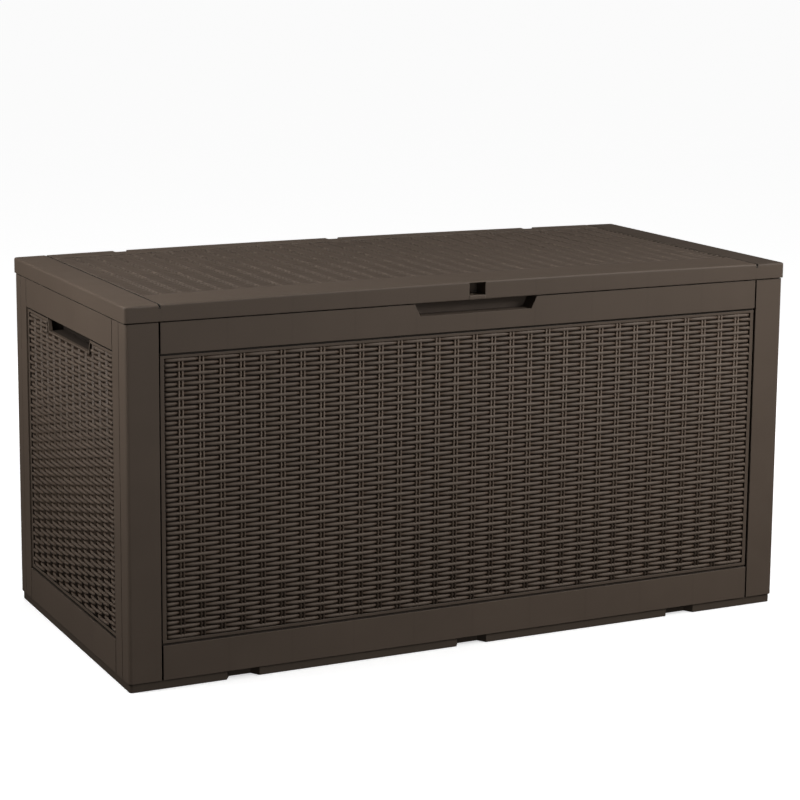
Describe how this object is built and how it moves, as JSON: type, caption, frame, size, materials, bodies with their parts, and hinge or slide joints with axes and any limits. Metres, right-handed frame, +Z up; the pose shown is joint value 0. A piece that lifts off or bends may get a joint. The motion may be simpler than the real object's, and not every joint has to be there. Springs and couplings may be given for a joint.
{
  "type": "deck storage box",
  "caption": "Long resin deck storage box with woven-look panels, corner posts, a rear-hinged lid with slotted stays, side handles, a front finger grip and a lock window.",
  "frame": {"origin": "on the ground, under the middle of the closed box", "axes": "+X along the box's length to its right end, seen from the front; the front faces -Y; +Z is up"},
  "size_m": [1.21, 0.5806, 0.615],
  "materials": {
    "resin": "satin moulded espresso-brown resin",
    "resin_inner": "plain moulded resin, inside faces",
    "hinge_resin": "moulded hinge and stay fittings",
    "stay_steel": "brown powder coat",
    "pin_steel": "zinc plated"
  },
  "bodies": {
    "box": {"back_left_post": "resin", "back_panel": "resin", "back_right_post": "resin", "base_screws": "pin_steel", "base_tray": "resin", "front_grip_cup": "resin_inner", "front_left_post": "resin", "front_panel": "resin", "front_right_post": "resin", "hinge_body_leaf_left": "hinge_resin", "hinge_body_leaf_middle": "hinge_resin", "hinge_body_leaf_right": "hinge_resin", "hinge_body_screws": "pin_steel", "hinge_pin_left": "pin_steel", "hinge_pin_middle": "pin_steel", "hinge_pin_right": "pin_steel", "left_handle_cup": "resin_inner", "left_side_panel": "resin", "lock_tongue": "hinge_resin", "lock_tongue_screws": "pin_steel", "post_screws": "pin_steel", "right_handle_cup": "resin_inner", "right_side_panel": "resin", "stay_stud_left": "hinge_resin", "stay_stud_right": "hinge_resin"},
    "lid": {"lid_shell": "resin", "lid_liner": "resin_inner", "hinge_lid_leaf_left": "hinge_resin", "hinge_lid_leaf_middle": "hinge_resin", "hinge_lid_leaf_right": "hinge_resin", "hinge_lid_screws": "pin_steel", "stay_lid_bracket_left": "hinge_resin", "stay_lid_bracket_right": "hinge_resin", "stay_bracket_screws": "pin_steel", "liner_screws": "pin_steel"},
    "stay_left": {"stay_arm_left": "stay_steel"},
    "stay_right": {"stay_arm_right": "stay_steel"}
  },
  "joints": [
    {"name": "lid_hinge", "type": "hinge", "parent": "box", "child": "lid", "pos_m": [0, 0.2805, 0.602], "axis": [-1, 0, 0], "range_deg": [0, 95]},
    {"name": "stay_left_pivot", "type": "hinge", "parent": "lid", "child": "stay_left", "pos_m": [-0.581, 0.1313, 0.5865], "axis": [1, 0, 0], "range_deg": [0, 47.5]},
    {"name": "stay_right_pivot", "type": "hinge", "parent": "lid", "child": "stay_right", "pos_m": [0.581, 0.1313, 0.5865], "axis": [1, 0, 0], "range_deg": [0, 47.5]}
  ],
  "couplings": [
    {"joint": "stay_left_pivot", "follows": "lid_hinge", "ratio": 0.5},
    {"joint": "stay_right_pivot", "follows": "lid_hinge", "ratio": 0.5}
  ]
}
